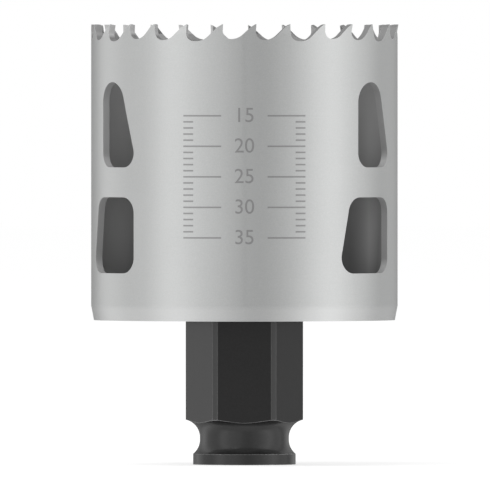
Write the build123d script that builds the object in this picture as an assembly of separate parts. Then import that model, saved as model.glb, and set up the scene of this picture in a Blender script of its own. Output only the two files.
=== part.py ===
from build123d import *
import math
import os

os.makedirs("parts", exist_ok=True)

# A hole saw for sheet and timber: a toothed cup rolled from strip, a thick end cap
# welded in its closed end, and a hexagonal shank that clicks into a quick-change holder.
# Millimetres, +Z up. It stands on the free end of its shank with the teeth up, as it is
# sold. The origin is on the axis, in the shank's end face. Angles are measured round the
# axis from the front (-Y), and grow towards +X.

# Cup wall
cut_diameter = 51.0
tooth_set = 0.25
wall = 1.15
cup_height = 48.7
base_taper_height = 2.4
base_taper_depth = 0.45

# Teeth: a variable pitch that repeats, as three teeth to a group. Each tooth has the
# share of its group, the depth of the gullet in front of it and the way it leans. The
# ends of the strip are welded together in front of the last tooth, where the pitch is
# longer. A gullet has a tight round under the rake face and a wide one under the next
# tooth, and the two take up no more than their share of the run between its sides.
tooth_groups = 9
first_tooth_angle = 113.3
weld_extra_angle = 2.0
pitch_shares = (12.5, 13.3, 14.2)
gullet_depths = (2.43, 2.60, 2.80)
tooth_leans = (0, 1, -1)
rake_angle = 3.0
relief_angle = 31.0
relief_length = 0.8
rise_angle = 43.0
rake_side_radius = 1.4
back_side_radius = 2.8
gullet_floor_share = 0.98
tip_land = 0.1
bend_depth = 1.5
blank_margin = 0.3
cutter_clearance = 1.0

# Chip slots: sets of two, one over the other, with their right edges in line
slot_sets = 3
slot_set_spacing = 114.5
first_slot_edge_angle = -46.0
lower_slot_rise = 7.8
lower_slot_height = 12.5
lower_slot_base_width = 12.8
lower_slot_top_width = 11.3
lower_slot_radius = 2.6
slot_bridge = 4.9
upper_slot_height = 14.0
upper_slot_width = 9.1
upper_slot_radius = 2.4
upper_slot_top_radius = 3.35

# End cap
cap_thickness = 4.7
cap_fit = 0.02
cap_edge_break = 0.4
drive_pin_diameter = 6.35
drive_pin_clearance = 0.25
drive_pin_circle = 28.6
drive_pin_count = 2

# Quick-change shank
shank_length = 23.8
hex_across_flats = 17.2
hex_across_corners = 19.34
lip_diameter = 16.9
groove_centre_height = 4.28
groove_floor_diameter = 14.66
groove_floor_width = 0.4
groove_radius = 2.95
spigot_diameter = 15.875
spigot_clearance = 0.1
spigot_stand_out = 1.6
spigot_edge_break = 0.8
pilot_drill_diameter = 7.15
pilot_clearance = 0.35
pilot_lead_in = 0.7

# Places that follow from the sizes above
shell_radius = cut_diameter / 2 - tooth_set
inner_radius = shell_radius - wall
base_z = shank_length
tip_z = base_z + cup_height
bend_z = tip_z - bend_depth
group_angle = (360 - weld_extra_angle) / tooth_groups
pitches = [group_angle * share / sum(pitch_shares) for share in pitch_shares]
pilot_bore_diameter = pilot_drill_diameter + pilot_clearance


def wall_plane(angle):
    """A plane through the axis that faces the wall at an angle: X to the right, Y up."""
    turn = math.radians(angle)
    return Plane(
        origin=(0, 0, 0),
        x_dir=(math.cos(turn), math.sin(turn), 0),
        z_dir=(math.sin(turn), -math.cos(turn), 0),
    )


def through_wall(outline, angle):
    """A cutter: an outline drawn on the wall, run from inside the cup to well outside."""
    start = inner_radius / 2
    reach = shell_radius + tooth_set + cutter_clearance - start
    plane = wall_plane(angle).offset(start)
    return extrude(plane * outline, amount=reach, dir=plane.z_dir)


def band_round(circles):
    """The outline of a band stretched round some circles, each (x, y, radius), taken
    anticlockwise: straight runs that touch one circle and the next, joined by arcs."""
    normals = []
    for (x, y, radius), (next_x, next_y, next_radius) in zip(circles, circles[1:] + circles[:1]):
        run = math.hypot(next_x - x, next_y - y)
        heading = math.atan2(next_y - y, next_x - x)
        normals.append(heading - math.pi / 2 + math.asin((radius - next_radius) / run))
    edges = []
    for number, (x, y, radius) in enumerate(circles):
        arrive = normals[number - 1]
        leave = arrive + (normals[number] - arrive) % (2 * math.pi)
        points = [
            (x + radius * math.cos(angle), y + radius * math.sin(angle))
            for angle in (arrive, (arrive + leave) / 2, leave)
        ]
        if edges:
            edges.append(Line(edges[-1] @ 1, points[0]))
        edges.append(ThreePointArc(*points))
    edges.append(Line(edges[-1] @ 1, edges[0] @ 0))
    return make_face(edges)


def rolled_wall():
    """The strip as rolled: a tube up to the bend line, with its closed end drawn in."""
    return revolve(
        Plane.XZ
        * make_face(
            Polyline(
                (inner_radius, base_z),
                (shell_radius - base_taper_depth, base_z),
                (shell_radius, base_z + base_taper_height),
                (shell_radius, bend_z),
                (inner_radius, bend_z),
                close=True,
            )
        ),
        Axis.Z,
    )


def rise_run(depth):
    """How far behind its tip the back of a tooth lies, at a depth under the tip."""
    relief_drop = relief_length * math.tan(math.radians(relief_angle))
    return relief_length + (depth - relief_drop) / math.tan(math.radians(rise_angle))


def tooth_blank(tip_angle, lean):
    """The strip above the bend line at one tooth, leaning out of or into the wall. It
    is wider than the tooth by a margin that the gullets on both sides cut away."""
    shift = lean * tooth_set
    section = Plane.XZ * make_face(
        Polyline(
            (inner_radius, bend_z),
            (shell_radius, bend_z),
            (shell_radius + shift, tip_z),
            (inner_radius + shift, tip_z),
            close=True,
        )
    )
    back = math.degrees((rise_run(bend_depth) + blank_margin) / shell_radius)
    front = math.degrees(blank_margin / shell_radius)
    blank = revolve(section, Axis.Z, revolution_arc=back + front)
    return Rot(0, 0, tip_angle - back - 90) * blank


def gullet_outline(pitch, depth):
    """The space between two tips: a hooked rake face on the left, a round-bottomed
    gullet, then the back of the next tooth with a flatter relief behind its tip."""
    left = -shell_radius * math.sin(math.radians(pitch / 2))
    right = -left - tip_land
    hook = math.tan(math.radians(rake_angle))
    relief = math.tan(math.radians(relief_angle))
    above = cutter_clearance
    floor_left = left - depth * hook
    floor_right = right - rise_run(depth)
    left_run = rake_side_radius * math.tan(math.radians(90 + rake_angle) / 2)
    right_run = back_side_radius * math.tan(math.radians(rise_angle) / 2)
    share = min(1, gullet_floor_share * (floor_right - floor_left) / (left_run + right_run))
    outline = Polyline(
        (left + above * hook, tip_z + above),
        (floor_left, tip_z - depth),
        (floor_right, tip_z - depth),
        (right - relief_length, tip_z - relief_length * relief),
        (right + above / relief, tip_z + above),
        close=True,
    )
    face = make_face(outline)
    corner = face.vertices().group_by(Axis.Y)[0].sort_by(Axis.X)[0]
    face = fillet(corner, share * rake_side_radius)
    corner = face.vertices().group_by(Axis.Y)[0].sort_by(Axis.X)[-1]
    return fillet(corner, share * back_side_radius)


def tooth_row():
    """Every tooth as (angle of its tip, pitch to the next tip, gullet depth, lean)."""
    row = []
    angle = first_tooth_angle
    for group in range(tooth_groups):
        for pitch, depth, lean in zip(pitches, gullet_depths, tooth_leans):
            row.append((angle, pitch, depth, lean))
            angle += pitch
    angle, pitch, depth, lean = row.pop()
    row.append((angle, pitch + weld_extra_angle, depth, lean))
    return row


def lower_slot():
    """The wide slot near the cap, with its right edge at x = 0."""
    radius = lower_slot_radius
    floor = base_z + lower_slot_rise + radius
    top = base_z + lower_slot_rise + lower_slot_height - radius
    return band_round(
        [
            (radius - lower_slot_base_width, floor, radius),
            (-radius, floor, radius),
            (-radius, top, radius),
            (radius - lower_slot_top_width, top, radius),
        ]
    )


def upper_slot():
    """The slot near the teeth, which narrows to one round end, right edge at x = 0."""
    radius = upper_slot_radius
    floor = base_z + lower_slot_rise + lower_slot_height + slot_bridge + radius
    top = floor - radius + upper_slot_height - upper_slot_top_radius
    return band_round(
        [
            (radius - upper_slot_width, floor, radius),
            (-radius, floor, radius),
            (upper_slot_top_radius - upper_slot_width, top, upper_slot_top_radius),
        ]
    )


def slot_cutters():
    """Each set is punched square to the wall at the middle of its wide lower slot."""
    half_width = lower_slot_base_width / 2
    half_angle = math.degrees(math.asin(half_width / shell_radius))
    cutters = []
    for number in range(slot_sets):
        middle = first_slot_edge_angle - half_angle + number * slot_set_spacing
        for outline in (lower_slot(), upper_slot()):
            cutters.append(through_wall(Pos(half_width, 0) * outline, middle))
    return cutters


def saw_shell():
    """The rolled and welded strip with its teeth milled and set, and its slots."""
    row = tooth_row()
    blanks = [tooth_blank(angle, lean) for angle, pitch, depth, lean in row]
    gullets = [
        through_wall(gullet_outline(pitch, depth), angle + pitch / 2)
        for angle, pitch, depth, lean in row
    ]
    return rolled_wall().fuse(*blanks).cut(*gullets, *slot_cutters())


def end_cap():
    """A turned disc that fits in the closed end, tapped for the spigot, with the two
    holes that take the drive pins of a screw-on holder."""
    disc = extrude(Circle(inner_radius - cap_fit), amount=cap_thickness)
    disc = chamfer(disc.edges().filter_by(GeomType.CIRCLE), cap_edge_break)
    holes = [Circle((spigot_diameter + spigot_clearance) / 2)]
    for place in PolarLocations(drive_pin_circle / 2, drive_pin_count):
        holes.append(place * Circle((drive_pin_diameter + drive_pin_clearance) / 2))
    return Pos(0, 0, base_z) * disc.cut(*[extrude(hole, amount=cap_thickness) for hole in holes])


def hexagon_bar():
    """Hexagon bar turned down at its corners, and turned round below the groove."""
    bar = extrude(RegularPolygon(hex_across_flats / 2, 6, major_radius=False), amount=shank_length)
    bar &= extrude(Circle(hex_across_corners / 2), amount=shank_length)
    turned_off = Circle(hex_across_corners) - Circle(lip_diameter / 2)
    return bar - extrude(turned_off, amount=groove_centre_height)


def catch_groove():
    """The space of the round groove that the balls of the holder drop into: a short
    floor between two quarter circles, each drawn as one curve up to the groove's mouth."""
    handle = groove_radius * 4 / 3 * (math.sqrt(2) - 1)
    floor = groove_floor_diameter / 2
    mouth = floor + groove_radius
    halves = []
    for side in (-1, 1):
        start = groove_centre_height + side * groove_floor_width / 2
        end = start + side * groove_radius
        halves.append(
            Bezier(
                (floor, start),
                (floor, start + side * handle),
                (mouth - handle, end),
                (mouth, end),
            )
        )
    low, high = halves
    clear = Vector(hex_across_corners, 0)
    outside = Polyline(low @ 1, low @ 1 + clear, high @ 1 + clear, high @ 1)
    outline = [Line(low @ 0, high @ 0), *halves, outside]
    return revolve(Plane.XZ * make_face(outline), Axis.Z)


def spigot():
    """The turned end that joins the shank to the cap and stands out inside the cup."""
    length = cap_thickness + spigot_stand_out
    pin = Pos(0, 0, shank_length) * extrude(Circle(spigot_diameter / 2), amount=length)
    return chamfer(pin.edges().group_by(Axis.Z)[-1], spigot_edge_break)


def pilot_bore():
    """The space of the bore, from end to end, widened at both mouths."""
    radius = pilot_bore_diameter / 2
    top = shank_length + cap_thickness + spigot_stand_out
    outline = Polyline(
        (0, 0),
        (radius + pilot_lead_in, 0),
        (radius, pilot_lead_in),
        (radius, top - pilot_lead_in),
        (radius + pilot_lead_in, top),
        (0, top),
        close=True,
    )
    return revolve(Plane.XZ * make_face(outline), Axis.Z)


def quick_change_shank():
    """The hexagon shank with its catch groove, its spigot and the bore for the pilot
    drill, turned from one bar."""
    return hexagon_bar() - catch_groove() + spigot() - pilot_bore()


export_step(saw_shell(), "parts/saw_shell.step")
export_step(end_cap(), "parts/end_cap.step")
export_step(quick_change_shank(), "parts/quick_change_shank.step")
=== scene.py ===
import bpy
import math
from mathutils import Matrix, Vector


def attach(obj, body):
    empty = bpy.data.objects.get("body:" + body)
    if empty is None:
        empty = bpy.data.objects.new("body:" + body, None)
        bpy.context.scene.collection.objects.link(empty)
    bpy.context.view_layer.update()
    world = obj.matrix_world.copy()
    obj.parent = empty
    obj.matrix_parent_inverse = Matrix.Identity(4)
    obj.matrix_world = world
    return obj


# The looks of a hole saw: a ground and blasted steel cup, a turned cap, a blackened
# hexagon shank, and the depth scale etched on the cup. Metres, +Z up, teeth up. Angles
# are measured round the axis from the front (-Y), and grow towards +X.

MM = 0.001
INCH = 25.4 * MM

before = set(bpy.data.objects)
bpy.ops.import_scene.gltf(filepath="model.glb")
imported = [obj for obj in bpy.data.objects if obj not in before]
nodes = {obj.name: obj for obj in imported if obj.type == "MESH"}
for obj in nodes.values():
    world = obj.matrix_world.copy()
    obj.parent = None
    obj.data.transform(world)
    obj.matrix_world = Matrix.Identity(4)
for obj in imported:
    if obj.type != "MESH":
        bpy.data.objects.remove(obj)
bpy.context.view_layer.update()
bpy.ops.object.select_all(action="DESELECT")


def heights(node):
    """The heights of a solid's lowest and highest point."""
    levels = [vertex.co.z for vertex in nodes[node].data.vertices]
    return min(levels), max(levels)


# Places on the saw that the finishes and the depth scale keep to
CUP_BASE, TOOTH_TIP = heights("saw_shell")
CUP_RADIUS = 25.25 * MM
TAPER_TOP = CUP_BASE + 2.4 * MM
GULLET_FLOOR = TOOTH_TIP - 3.1 * MM
CAP_TOP = heights("end_cap")[1]

# The camera stands far off with a long lens, so that the cup is seen square on
CAMERA_DISTANCE = 3.784
CAMERA_HEIGHT = 64 * MM
VIEW_CENTRE = Vector((0.1 * MM, 0, 36.16 * MM))
LENS = 1687
SENSOR_WIDTH = 36
CAMERA_SEES_FROM = 0.1
CAMERA_SEES_TO = 20

# How deep the grain and the fine lines of a finish are, and how far wear and a painted edge
# highlight reach from an edge
GRAIN_DEPTH = 0.003 * MM
LINE_DEPTH = 0.0015 * MM
RING_DEPTH = 0.006 * MM
EDGE_WEAR_AND_HIGHLIGHT = 0.16 * MM
SHANK_EDGE_WEAR_AND_HIGHLIGHT = 0.2 * MM


def grey(level, tint=(1.0, 1.0, 1.0)):
    return (level * tint[0], level * tint[1], level * tint[2], 1.0)


class Wiring:
    """The nodes of a material or of the world, put together one by one."""

    def __init__(self, owner):
        owner.use_nodes = True
        self.tree = owner.node_tree
        self.tree.nodes.clear()
        self.column = 0

    def add(self, kind, **settings):
        node = self.tree.nodes.new(kind)
        node.location = (self.column * 180, 0)
        self.column += 1
        for name, value in settings.items():
            setattr(node, name, value)
        return node

    def feed(self, socket, value):
        if isinstance(value, bpy.types.NodeSocket):
            self.tree.links.new(value, socket)
        else:
            socket.default_value = value

    def figure(self, operation, first, second=0.0):
        """A sum in numbers, by the name of its operation."""
        node = self.add("ShaderNodeMath", operation=operation)
        self.feed(node.inputs[0], first)
        self.feed(node.inputs[1], second)
        return node.outputs[0]

    def arrows(self, operation, first, second=(0, 0, 0), result="Vector"):
        """A sum in arrows, by the name of its operation."""
        node = self.add("ShaderNodeVectorMath", operation=operation)
        self.feed(node.inputs[0], first)
        self.feed(node.inputs[1], second)
        return node.outputs[result]

    def agreement(self, first, second):
        """How far the first arrow goes along the second, which has the length 1."""
        return self.arrows("DOT_PRODUCT", first, second, "Value")

    def split(self, arrow):
        """How far an arrow goes to the right, to the back and up."""
        parts = self.add("ShaderNodeSeparateXYZ")
        self.feed(parts.inputs[0], arrow)
        return parts.outputs["X"], parts.outputs["Y"], parts.outputs["Z"]

    def glow(self, kind, colour, strength):
        node = self.add(kind)
        self.feed(node.inputs["Color"], colour)
        node.inputs["Strength"].default_value = strength
        return node.outputs[0]

    def show(self, kind, surface):
        """Ends the wiring: the surface is what the material or the world shows."""
        self.feed(self.add(kind).inputs["Surface"], surface)


class Finish(Wiring):
    """A surface finish, whose patterns keep to the place on the piece."""

    SOFT_STEP = 0.2 * MM
    TURNED_EDGE = (0.06 * MM, 0.02 * MM)
    EDGE_AGREEMENT = (0.82, 0.995)
    EDGE_SAMPLES = 6

    def __init__(self, name):
        self.material = bpy.data.materials.new(name)
        super().__init__(self.material)
        self.place = self.add("ShaderNodeTexCoord").outputs["Object"]

    def noise(self, scale, detail=2.0, roughness=0.6, vector=None):
        """An even noise, with as many grains to the metre as its scale says."""
        node = self.add("ShaderNodeTexNoise")
        self.feed(node.inputs["Vector"], vector or self.place)
        node.inputs["Scale"].default_value = scale
        node.inputs["Detail"].default_value = detail
        node.inputs["Roughness"].default_value = roughness
        return node.outputs["Fac"]

    def lines(self, grains, detail):
        """A noise with its own number of grains to the metre in each direction."""
        mapping = self.add("ShaderNodeMapping")
        self.feed(mapping.inputs["Vector"], self.place)
        mapping.inputs["Scale"].default_value = grains
        return self.noise(1.0, detail, vector=mapping.outputs["Vector"])

    def spread(self, value, low, high, start=0.0, end=1.0):
        """A value that ran from start to end now runs from low to high."""
        node = self.add("ShaderNodeMapRange")
        self.feed(node.inputs["Value"], value)
        node.inputs["From Min"].default_value = start
        node.inputs["From Max"].default_value = end
        node.inputs["To Min"].default_value = low
        node.inputs["To Max"].default_value = high
        return node.outputs["Result"]

    def sum(self, first, second):
        return self.figure("ADD", first, second)

    def product(self, first, second):
        return self.figure("MULTIPLY", first, second)

    def blend(self, amount, first, second):
        """The first colour where the amount is 0, the second where it is 1."""
        node = self.add("ShaderNodeMix", data_type="RGBA")
        self.feed(node.inputs["Factor"], amount)
        self.feed(node.inputs["A"], first)
        self.feed(node.inputs["B"], second)
        return node.outputs["Result"]

    def facing(self):
        return self.add("ShaderNodeNewGeometry").outputs["Normal"]

    def level_place(self):
        """The place on the piece, brought down to the height of the shank's end."""
        return self.arrows("MULTIPLY", self.place, (1, 1, 0))

    def outwards(self):
        """1 where a face looks away from the axis, -1 where it looks at it, 0 across."""
        away = self.arrows("NORMALIZE", self.level_place())
        return self.agreement(away, self.facing())

    def upwards(self):
        """1 where a face looks up, -1 where it looks down, 0 where it stands upright."""
        return self.split(self.facing())[2]

    def above(self, level):
        height = self.split(self.place)[2]
        return self.spread(height, 0.0, 1.0, level, level + self.SOFT_STEP)

    def beyond(self, radius):
        """1 where the piece lies as far from the axis as the radius, 0 nearer to it."""
        start, end = (radius - inside for inside in self.TURNED_EDGE)
        reach = self.arrows("LENGTH", self.level_place(), result="Value")
        return self.spread(reach, 0.0, 1.0, start, end)

    def seam(self, turn, width):
        """1 along a line up the cup at an angle from the front, fading to 0 beside it."""
        across = (math.cos(turn), math.sin(turn), 0)
        out = (math.sin(turn), -math.cos(turn), 0)
        beside = self.figure("ABSOLUTE", self.agreement(self.place, across))
        near = self.spread(beside, 1.0, 0.0, width / 4, width / 2)
        ahead = self.spread(self.agreement(self.place, out), 0.0, 1.0, 0.0, 1 * MM)
        return self.product(near, ahead)

    def thread(self, pitch):
        """A ridge that climbs round the axis, once round in each pitch."""
        right, back, up = self.split(self.place)
        turn = self.figure("ARCTAN2", back, right)
        climb = self.product(up, 2 * math.pi / pitch)
        wave = self.figure("SINE", self.figure("SUBTRACT", climb, turn))
        return self.spread(wave, 0.0, 1.0, -1.0, 1.0)

    def edges(self, width):
        """How near a sharp edge is: 0 on a plain face, up to 1 at the edge."""
        rounded = self.add("ShaderNodeBevel", samples=self.EDGE_SAMPLES)
        rounded.inputs["Radius"].default_value = width
        turned = self.agreement(rounded.outputs["Normal"], self.facing())
        return self.spread(turned, 1.0, 0.0, *self.EDGE_AGREEMENT)

    def relief(self, height, depth, base=None):
        node = self.add("ShaderNodeBump")
        self.feed(node.inputs["Height"], height)
        node.inputs["Strength"].default_value = 1.0
        node.inputs["Distance"].default_value = depth
        if base is not None:
            self.feed(node.inputs["Normal"], base)
        return node.outputs["Normal"]

    def speckle(self, grain, base, speck, most=0.4, start=0.35, end=0.75):
        """A colour with fine grains of another one on it."""
        return self.blend(self.spread(grain, 0.0, most, start, end), base, speck)

    def steel(self, colour, roughness, normal=None, metallic=1.0):
        shader = self.add("ShaderNodeBsdfPrincipled")
        self.feed(shader.inputs["Base Color"], colour)
        self.feed(shader.inputs["Roughness"], roughness)
        self.feed(shader.inputs["Metallic"], metallic)
        if normal is not None:
            self.feed(shader.inputs["Normal"], normal)
        self.show("ShaderNodeOutputMaterial", shader.outputs["BSDF"])
        return shader


# The cup's strip: grinding lines run round it, over grain and clouds, all in grains to
# the metre. Its steel is a little cold in colour.
CUP_GRINDING = (240, 240, 5200)
CUP_GRAIN = 5200
CUP_CLOUDS = 90
CUP_GREY = grey(0.405, (0.985, 1.0, 0.995))
CUP_PALE_GREY = grey(0.43, (0.985, 1.0, 0.99))
CUP_LINE_GREY = grey(0.34, (0.985, 1.0, 0.995))
CUP_SPECK = grey(0.5)
CUP_WORN_AND_HIGHLIGHT = grey(0.6)
# A painted highlight on the cup's tapered band near the closed end, and the heights over which it
# fades out
CUP_TAPER_HIGHLIGHT = grey(0.6)
TAPER_HIGHLIGHT_FADES = (TAPER_TOP - 0.6 * MM, TAPER_TOP + 0.3 * MM)

# The inside, unshaded and under full painted shade, and the painted shade: how strong it is at two
# heights, and the stretches across the cup, from and to, where it gets stronger (painted shade) or
# weaker (painted sheen)
INSIDE_UNSHADED_GREY = grey(0.4)
INSIDE_PAINTED_SHADE_GREY = grey(0.16)
INSIDE_SHADE_HEIGHTS = (30 * MM, 58 * MM)
INSIDE_SHADE_AMOUNTS = (0.67, 0.12)
INSIDE_SHADE_AND_SHEEN_ACROSS = (
    (-22.5 * MM, -18 * MM, 0.5, 1.3),
    (17.5 * MM, 20.5 * MM, 1.0, 0.45),
    (20.6 * MM, 22.8 * MM, 1.0, 4.0),
)

# The faces that were punched and milled through the strip; the milled gullets carry a painted
# highlight on the upright rake faces and painted shade on their floors and at the far left
PUNCHED_GREY = grey(0.34)
PUNCHED_PALE_GREY = grey(0.39)
# Slot walls are darker where they look up
UPWARD_SLOT_WALL_GREY = grey(0.2)
RAKE_FACE_HIGHLIGHT_GREY = grey(0.52)
RAKE_FACE_SHADE_GREY = grey(0.375)
RAKE_FACE_SHADE_ENDS = (-23.4 * MM, -22.8 * MM)
GULLET_FLOOR_SHADE_GREY = grey(0.21)

# The weld that closes the rolled strip, between two sets of slots on the right
WELD_ANGLE = math.radians(105.2)
WELD_WIDTH = 0.9 * MM
WELD_RIDGE = 0.03 * MM
WELD_GREY = grey(0.3, (0.97, 0.99, 1.0))
HEATED_WIDTH = 6 * MM
HEATED_STRAW = grey(0.3, (1.0, 0.96, 0.88))


def cup_outside(finish, ground, grain, patches, height):
    """The ground and blasted strip, with a painted highlight on its tapered band near the closed
    end.
    """
    cloud = finish.blend(patches, CUP_GREY, CUP_PALE_GREY)
    lined = finish.blend(finish.spread(ground, 0.0, 0.3), cloud, CUP_LINE_GREY)
    speckled = finish.speckle(grain, lined, CUP_SPECK)
    # painted highlight: the tapered band near the closed end is painted lighter
    taper_highlight = finish.spread(height, 0.2, 0.0, *TAPER_HIGHLIGHT_FADES)
    return finish.blend(taper_highlight, speckled, CUP_TAPER_HIGHLIGHT)


def cup_inside(finish, across_cup, height):
    """The inside, with painted shade that is darkest near the cap and at the far right, and
    painted sheen where it is weaker.
    """
    # painted shade: darker deeper in the cup; across it, painted shade and painted sheen by place
    shade_and_sheen = finish.spread(height, *INSIDE_SHADE_AMOUNTS, *INSIDE_SHADE_HEIGHTS)
    for start, end, before, after in INSIDE_SHADE_AND_SHEEN_ACROSS:
        shade_and_sheen = finish.product(shade_and_sheen, finish.spread(across_cup, before, after, start, end))
    return finish.blend(shade_and_sheen, INSIDE_UNSHADED_GREY, INSIDE_PAINTED_SHADE_GREY)


def cup_cut_faces(finish, patches, across_cup):
    """The walls of slots, darker where they look up, and the milled gullets, with a painted
    highlight where a tooth's rake face stands upright, and painted shade on the gullet floor and
    at the far left."""
    upwards = finish.upwards()
    punched = finish.blend(patches, PUNCHED_GREY, PUNCHED_PALE_GREY)
    # the slot walls are darker where they look up
    slot = finish.blend(finish.spread(upwards, 0.0, 0.5, 0.3, 0.9), punched, UPWARD_SLOT_WALL_GREY)
    # painted shade on gullet floors that look up, painted highlight on upright rake faces, painted
    # shade on rake faces at the far left
    gullet_floor_shade = finish.spread(upwards, 0.0, 1.0, 0.2, 0.6)
    rake_shade = finish.spread(across_cup, 1.0, 0.0, *RAKE_FACE_SHADE_ENDS)
    painted_rake_face = finish.blend(rake_shade, RAKE_FACE_HIGHLIGHT_GREY, RAKE_FACE_SHADE_GREY)
    painted_gullet = finish.blend(gullet_floor_shade, painted_rake_face, GULLET_FLOOR_SHADE_GREY)
    return finish.blend(finish.above(GULLET_FLOOR), slot, painted_gullet)


def blasted_cup_steel():
    """Light grey strip, finely ground and blasted, with painted shade and sheen inside, and its
    weld's line.
    """
    finish = Finish("blasted_cup_steel")
    ground = finish.lines(CUP_GRINDING, 3.0)
    grain = finish.noise(CUP_GRAIN)
    patches = finish.noise(CUP_CLOUDS, 3.0, 0.5)
    across_cup, height = finish.split(finish.place)[::2]
    outwards = finish.outwards()
    inner = finish.spread(outwards, 1.0, 0.0, -0.8, -0.4)
    cut = finish.spread(finish.figure("ABSOLUTE", outwards), 1.0, 0.0, 0.4, 0.8)
    outside = cup_outside(finish, ground, grain, patches, height)
    # the inside carries painted shade and painted sheen
    rolled = finish.blend(inner, outside, cup_inside(finish, across_cup, height))
    faces = finish.blend(cut, rolled, cup_cut_faces(finish, patches, across_cup))
    weld = finish.seam(WELD_ANGLE, WELD_WIDTH)
    heated = finish.seam(WELD_ANGLE, HEATED_WIDTH)
    tinted = finish.blend(finish.product(heated, 0.35), faces, HEATED_STRAW)
    welded = finish.blend(finish.product(weld, 0.6), tinted, WELD_GREY)
    # edge wear and a painted edge highlight
    worn_and_highlit = finish.edges(EDGE_WEAR_AND_HIGHLIGHT)
    colour = finish.blend(finish.product(worn_and_highlit, 0.35), welded, CUP_WORN_AND_HIGHLIGHT)
    dull = finish.sum(finish.product(cut, 0.5), finish.product(inner, 0.1))
    roughness = finish.sum(finish.spread(grain, 0.36, 0.44), finish.product(dull, 0.5))
    lined_normal = finish.relief(grain, GRAIN_DEPTH, finish.relief(ground, LINE_DEPTH))
    normal = finish.relief(weld, WELD_RIDGE, lined_normal)
    finish.steel(colour, roughness, normal, finish.spread(dull, 1.0, 0.0))
    return finish.material


CAP_GRAIN = 4200
CAP_RINGS = 420
CAP_GREY = grey(0.33)
CAP_PALE_GREY = grey(0.4)
CAP_SPECK = grey(0.45)
CAP_WORN_AND_HIGHLIGHT = grey(0.6)


def turned_cap_steel():
    """Lathe-turned cap: faint rings round the axis."""
    finish = Finish("turned_cap_steel")
    wave = finish.add("ShaderNodeTexWave", wave_type="RINGS", rings_direction="Z")
    finish.feed(wave.inputs["Vector"], finish.place)
    wave.inputs["Scale"].default_value = CAP_RINGS
    wave.inputs["Distortion"].default_value = 0.6
    wave.inputs["Detail"].default_value = 2
    rings = wave.outputs["Fac"]
    grain = finish.noise(CAP_GRAIN)
    ringed = finish.blend(rings, CAP_GREY, CAP_PALE_GREY)
    speckled = finish.speckle(grain, ringed, CAP_SPECK)
    # edge wear and a painted edge highlight
    worn_and_highlit = finish.edges(EDGE_WEAR_AND_HIGHLIGHT)
    colour = finish.blend(finish.product(worn_and_highlit, 0.6), speckled, CAP_WORN_AND_HIGHLIGHT)
    finish.steel(colour, finish.spread(grain, 0.3, 0.42), finish.relief(rings, RING_DEPTH))
    return finish.material


# The shank: what lies within the hexagon's flats was turned on the lathe, and so were its corners.
# The turned parts are painted a little lighter: turned steel, and a painted highlight on the
# corner strips.
# The thread stands out of the cap, with 18 turns to the inch.
SHANK_TURNING = (200, 200, 4200)
SHANK_GRAIN = 3800
SHANK_CLOUDS = 160
FLAT_RADIUS = 8.6 * MM
CORNER_RADIUS = 9.67 * MM
THREAD_PITCH = INCH / 18
THREAD_DEPTH = 0.35 * MM
SHANK_BLACK = grey(0.019, (1.0, 1.0, 1.02))
SHANK_BROWN_BLACK = grey(0.023, (1.02, 1.0, 0.99))
SHANK_TURNED_AND_HIGHLIGHT = grey(0.038)
SHANK_SPECK = grey(0.03)
SHANK_RUBBED_AND_HIGHLIGHT = grey(0.42)


def blackened_shank_steel():
    """Blackened and oiled steel, a little browner in patches, rubbed bright at edges: wear and a
    painted edge highlight.
    """
    finish = Finish("blackened_shank_steel")
    grain = finish.noise(SHANK_GRAIN)
    patches = finish.noise(SHANK_CLOUDS, 3.0, 0.55)
    turning = finish.lines(SHANK_TURNING, 2.0)
    cloud = finish.blend(patches, SHANK_BLACK, SHANK_BROWN_BLACK)
    # turned parts painted lighter: turned steel, and a painted highlight on the hexagon's corner
    # strips
    within = finish.figure("SUBTRACT", 1.0, finish.beyond(FLAT_RADIUS))
    turned = finish.sum(within, finish.beyond(CORNER_RADIUS))
    lathed_and_highlit = finish.blend(turned, cloud, SHANK_TURNED_AND_HIGHLIGHT)
    speckled = finish.speckle(grain, lathed_and_highlit, SHANK_SPECK, most=0.5, start=0.4, end=0.8)
    # edge wear and a painted edge highlight
    worn_and_highlit = finish.edges(SHANK_EDGE_WEAR_AND_HIGHLIGHT)
    rubbed_and_highlit = finish.product(worn_and_highlit, finish.spread(patches, 0.6, 1.0, 0.35, 0.65))
    colour = finish.blend(rubbed_and_highlit, speckled, SHANK_RUBBED_AND_HIGHLIGHT)
    roughness = finish.sum(finish.spread(grain, 0.19, 0.25), finish.spread(turning, -0.03, 0.03))
    fine = finish.relief(grain, GRAIN_DEPTH, finish.relief(turning, LINE_DEPTH))
    thread = finish.product(finish.thread(THREAD_PITCH), finish.above(CAP_TOP))
    normal = finish.relief(thread, THREAD_DEPTH, fine)
    shader = finish.steel(colour, roughness, normal, 0.4)
    shader.inputs["Specular IOR Level"].default_value = 0.38
    shader.inputs["Specular Tint"].default_value = grey(0.7)
    return finish.material


MARK_GRAIN = 6000
MARK_GREY = grey(0.22)
MARK_PALE_GREY = grey(0.26)


def etched_mark():
    """The dull, slightly darker steel where the scale is etched."""
    finish = Finish("etched_mark")
    grain = finish.noise(MARK_GRAIN)
    colour = finish.blend(grain, MARK_GREY, MARK_PALE_GREY)
    finish.steel(colour, finish.spread(grain, 0.38, 0.48), metallic=0.8)
    return finish.material


def dress(node, material):
    mesh = nodes[node].data
    mesh.materials.clear()
    mesh.materials.append(material)


# The depth scale on the front of the cup: how deep the teeth are in the work, in mm
SCALE_FIRST = 15
SCALE_LAST = 35
SCALE_STEP = 5
SCALE_HALF_WIDTH = 10.0 * MM
LONG_LINE = 6.2 * MM
SHORT_LINE = 1.6 * MM
LINE_WIDTH = 0.26 * MM
LINE_CUTS = 5
NUMBER_SIZE = 3.4 * MM
NUMBER_CUTS = 2
MARK_LIFT = 0.015 * MM
MERGE_REACH = 0.001 * MM

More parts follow.
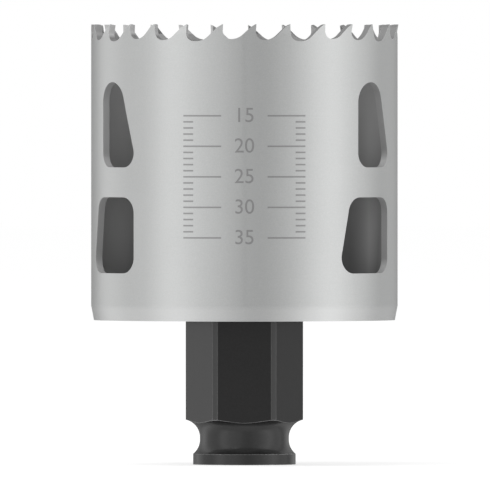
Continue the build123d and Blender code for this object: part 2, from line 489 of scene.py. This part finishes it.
# The marks are drawn upright, a little in front of the cup, and then laid on its wall
DRAWN_AT = -CUP_RADIUS - 5 * MM
UPRIGHT = (math.pi / 2, 0, 0)


def cut_finely(cuts):
    """Cuts up the new flat mark, so that it can bend round the cup."""
    bpy.ops.object.mode_set(mode="EDIT")
    bpy.ops.mesh.select_all(action="SELECT")
    bpy.ops.mesh.remove_doubles(threshold=MERGE_REACH)
    bpy.ops.mesh.quads_convert_to_tris()
    bpy.ops.mesh.subdivide(number_cuts=cuts)
    bpy.ops.object.mode_set(mode="OBJECT")


def flat_line(centre, height, length):
    bpy.ops.mesh.primitive_plane_add(size=1, location=(centre, DRAWN_AT, height), rotation=UPRIGHT)
    line = bpy.context.object
    line.scale = (length, LINE_WIDTH, 1)
    bpy.ops.object.transform_apply(location=True, rotation=True, scale=True)
    cut_finely(LINE_CUTS)
    return line


def flat_number(text, height):
    bpy.ops.object.text_add(location=(0, DRAWN_AT, height), rotation=UPRIGHT)
    number = bpy.context.object
    number.data.body = text
    number.data.size = NUMBER_SIZE
    number.data.align_x = "CENTER"
    number.data.align_y = "CENTER"
    bpy.ops.object.convert(target="MESH")
    bpy.ops.object.transform_apply(location=True, rotation=True, scale=True)
    cut_finely(NUMBER_CUTS)
    return bpy.context.object


def lay_on_cup(marks):
    """The flat marks laid on the cup's wall and given a hair of thickness."""
    bpy.ops.object.select_all(action="DESELECT")
    marks.select_set(True)
    bpy.context.view_layer.objects.active = marks
    wrap = marks.modifiers.new("lay", "SHRINKWRAP")
    wrap.target = nodes["saw_shell"]
    wrap.wrap_method = "PROJECT"
    wrap.use_project_y = True
    wrap.use_positive_direction = True
    wrap.offset = MARK_LIFT
    bpy.ops.object.modifier_apply(modifier="lay")
    thick = marks.modifiers.new("thick", "SOLIDIFY")
    thick.thickness = MARK_LIFT * 2
    thick.offset = 0
    bpy.ops.object.modifier_apply(modifier="thick")


def depth_scale():
    """Lines on both sides at each millimetre, long ones with a number at each fifth."""
    marks = []
    for depth in range(SCALE_FIRST, SCALE_LAST + 1):
        height = TOOTH_TIP - depth * MM
        length = SHORT_LINE if depth % SCALE_STEP else LONG_LINE
        for side in (-1, 1):
            marks.append(flat_line(side * (SCALE_HALF_WIDTH - length / 2), height, length))
        if depth % SCALE_STEP == 0:
            marks.append(flat_number(str(depth), height))
    bpy.ops.object.select_all(action="DESELECT")
    for mark in marks:
        mark.select_set(True)
    bpy.context.view_layer.objects.active = marks[0]
    bpy.ops.object.join()
    scale = bpy.context.object
    scale.name = "etched_depth_scale"
    lay_on_cup(scale)
    scale.data.materials.clear()
    scale.data.materials.append(etched_mark())
    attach(scale, "root")


WHITE = grey(1.0)
ROOM_LIGHT = 0.75
ROOM_WHITE = 1.0
FLOOR_SIZE = 12
FLOOR_PAINT = grey(0.42)
FLOOR_GLOW = 0.68


def white_room():
    """A world that is plain white to the eye and in reflections, and lights softly."""
    world = bpy.data.worlds.new("white_room")
    bpy.context.scene.world = world
    room = Wiring(world)
    rays = room.add("ShaderNodeLightPath").outputs
    seen = room.figure("MAXIMUM", rays["Is Camera Ray"], rays["Is Glossy Ray"])
    seen = room.figure("MAXIMUM", seen, rays["Is Transmission Ray"])
    mix = room.add("ShaderNodeMixShader")
    room.feed(mix.inputs[0], seen)
    room.feed(mix.inputs[1], room.glow("ShaderNodeBackground", WHITE, ROOM_LIGHT))
    room.feed(mix.inputs[2], room.glow("ShaderNodeBackground", WHITE, ROOM_WHITE))
    room.show("ShaderNodeOutputWorld", mix.outputs[0])


def pale_floor():
    """A plain white floor that keeps a soft shadow under the shank."""
    bpy.ops.mesh.primitive_plane_add(size=FLOOR_SIZE, location=(0, 0, 0))
    floor = bpy.context.object
    floor.name = "floor"
    material = bpy.data.materials.new("white_floor")
    coat = Wiring(material)
    paint = coat.add("ShaderNodeBsdfDiffuse")
    coat.feed(paint.inputs["Color"], FLOOR_PAINT)
    both = coat.add("ShaderNodeAddShader")
    coat.feed(both.inputs[0], paint.outputs[0])
    coat.feed(both.inputs[1], coat.glow("ShaderNodeEmission", WHITE, FLOOR_GLOW))
    coat.show("ShaderNodeOutputMaterial", both.outputs[0])
    floor.data.materials.append(material)
    floor.visible_glossy = False


# How bright the cloth of the light tent is, by the angle round it from the front in
# degrees, growing to the right: two soft panels with the camera's dark gap between them
TENT = (
    (-180, 0.12),
    (-150, 0.48),
    (-125, 1.52),
    (-100, 1.12),
    (-78, 1.08),
    (-57, 1.95),
    (-38, 1.33),
    (-15, 1.15),
    (0, 0.76),
    (10, 0.64),
    (35, 1.02),
    (55, 1.60),
    (68, 2.10),
    (92, 1.25),
    (106, 1.28),
    (119, 0.62),
    (131, 0.92),
    (144, 0.90),
    (156, 0.58),
    (168, 0.26),
    (180, 0.10),
)
TENT_TOP_LEVEL = 2.4
TENT_RADIUS = 1.6
TENT_DEPTH = 4
TENT_MIDDLE = (0, 0, 0.4)
TENT_SIDES = 96


def tent_cloth():
    """Cloth that glows by the angle round the tent, from one level to the next."""
    finish = Finish("tent_cloth")
    right, back = finish.split(finish.place)[:2]
    angle = finish.figure("ARCTAN2", right, finish.product(back, -1.0))
    ramp = finish.add("ShaderNodeValToRGB")
    finish.feed(ramp.inputs["Fac"], finish.spread(angle, 0.0, 1.0, -math.pi, math.pi))
    ramp.color_ramp.interpolation = "EASE"
    stops = ramp.color_ramp.elements
    while len(stops) < len(TENT):
        stops.new(1.0)
    for stop, (degrees, level) in zip(stops, TENT):
        stop.position = (degrees + 180) / 360
        stop.color = grey(level / TENT_TOP_LEVEL)
    glow = finish.glow("ShaderNodeEmission", ramp.outputs["Color"], TENT_TOP_LEVEL)
    finish.show("ShaderNodeOutputMaterial", glow)
    return finish.material


def light_tent():
    """Cloth panels round the table that only the metal mirrors."""
    bpy.ops.mesh.primitive_cylinder_add(
        vertices=TENT_SIDES,
        radius=TENT_RADIUS,
        depth=TENT_DEPTH,
        end_fill_type="NOTHING",
        location=TENT_MIDDLE,
    )
    tent = bpy.context.object
    tent.name = "light_tent"
    tent.data.materials.append(tent_cloth())
    tent.visible_camera = False
    tent.visible_diffuse = False
    tent.visible_transmission = False
    tent.visible_shadow = False


SOFTBOX_PLACE = Vector((-0.5, -0.4, 1.6))
SOFTBOX_AIM = Vector((0, 0, 30 * MM))
SOFTBOX_SIZE = 1.2
SOFTBOX_POWER = 12


def turn_towards(thing, aim):
    """Turns a lamp or camera so that it looks along an arrow."""
    thing.rotation_euler = aim.to_track_quat("-Z", "Y").to_euler()


def overhead_softbox():
    bpy.ops.object.light_add(type="AREA", location=SOFTBOX_PLACE)
    lamp = bpy.context.object
    lamp.name = "overhead_softbox"
    lamp.data.shape = "SQUARE"
    lamp.data.size = SOFTBOX_SIZE
    lamp.data.energy = SOFTBOX_POWER
    turn_towards(lamp, SOFTBOX_AIM - SOFTBOX_PLACE)


def set_camera():
    place = Vector((VIEW_CENTRE.x, -CAMERA_DISTANCE, CAMERA_HEIGHT))
    bpy.ops.object.camera_add(location=place)
    camera = bpy.context.object
    turn_towards(camera, VIEW_CENTRE - place)
    camera.data.lens = LENS
    camera.data.sensor_width = SENSOR_WIDTH
    camera.data.clip_start = CAMERA_SEES_FROM
    camera.data.clip_end = CAMERA_SEES_TO
    bpy.context.scene.camera = camera


bpy.context.scene.view_settings.view_transform = "Standard"
white_room()
pale_floor()
light_tent()
overhead_softbox()
dress("saw_shell", blasted_cup_steel())
dress("end_cap", turned_cap_steel())
dress("quick_change_shank", blackened_shank_steel())
depth_scale()
set_camera()
